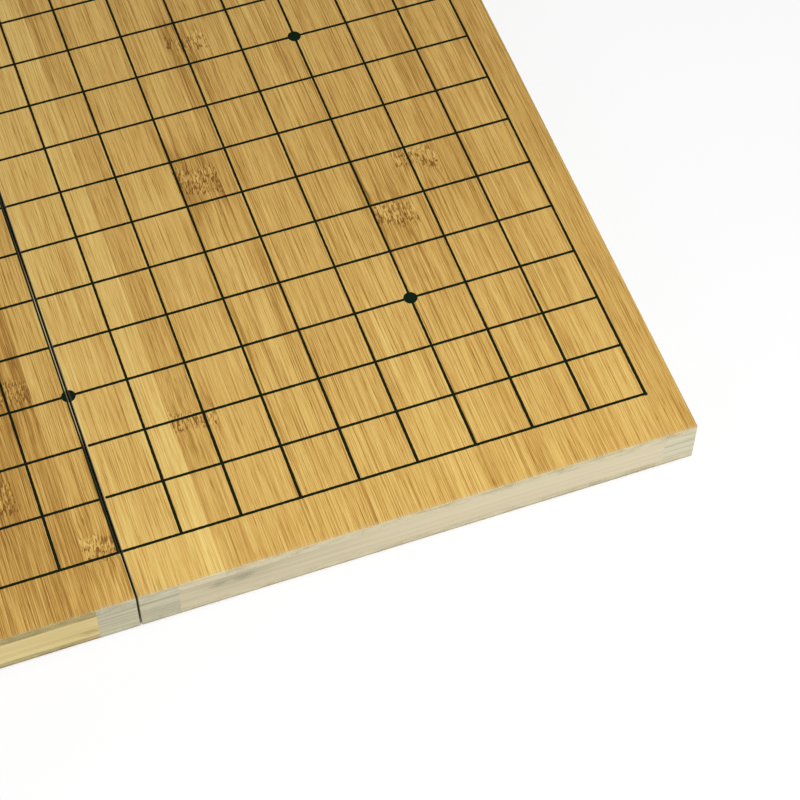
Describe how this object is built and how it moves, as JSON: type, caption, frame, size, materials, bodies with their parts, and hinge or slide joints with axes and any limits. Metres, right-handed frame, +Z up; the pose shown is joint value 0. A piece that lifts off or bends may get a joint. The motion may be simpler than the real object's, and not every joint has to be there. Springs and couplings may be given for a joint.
{
  "type": "go board",
  "caption": "Folding bamboo go board with a cut and painted grid, framed halves, and brass hinges underneath on which it closes underside to underside.",
  "frame": {"origin": "on the table, under the middle of the open board, level with the lowest point of the hinge knuckles", "axes": "+X to the right across the fold, +Y to the back along the fold, +Z up out of the playing face"},
  "size_m": [0.44, 0.473, 0.0226],
  "materials": {
    "panel_bamboo": "satin lacquer",
    "rail_bamboo": "satin lacquer",
    "core_bamboo": "bare",
    "line_paint": "satin paint",
    "hinge_brass": "brushed",
    "screw_brass": "bright"
  },
  "bodies": {
    "right_half": {"right_top_panel": "panel_bamboo", "right_grid_paint": "line_paint", "right_front_rail": "rail_bamboo", "right_back_rail": "rail_bamboo", "right_outer_rail": "rail_bamboo", "right_fold_rail": "rail_bamboo", "right_core_slats": "core_bamboo", "right_bottom_panel": "panel_bamboo", "right_hinge_screws": "screw_brass", "front_hinge_right_leaf": "hinge_brass", "back_hinge_right_leaf": "hinge_brass", "front_hinge_pin": "hinge_brass", "back_hinge_pin": "hinge_brass"},
    "left_half": {"left_top_panel": "panel_bamboo", "left_grid_paint": "line_paint", "left_front_rail": "rail_bamboo", "left_back_rail": "rail_bamboo", "left_outer_rail": "rail_bamboo", "left_fold_rail": "rail_bamboo", "left_core_slats": "core_bamboo", "left_bottom_panel": "panel_bamboo", "left_hinge_screws": "screw_brass", "front_hinge_left_leaf": "hinge_brass", "back_hinge_left_leaf": "hinge_brass"}
  },
  "joints": [
    {"name": "fold", "type": "hinge", "parent": "right_half", "child": "left_half", "pos_m": [0, 0, 0.0014], "axis": [0, -1, 0], "range_deg": [0, 180]}
  ]
}
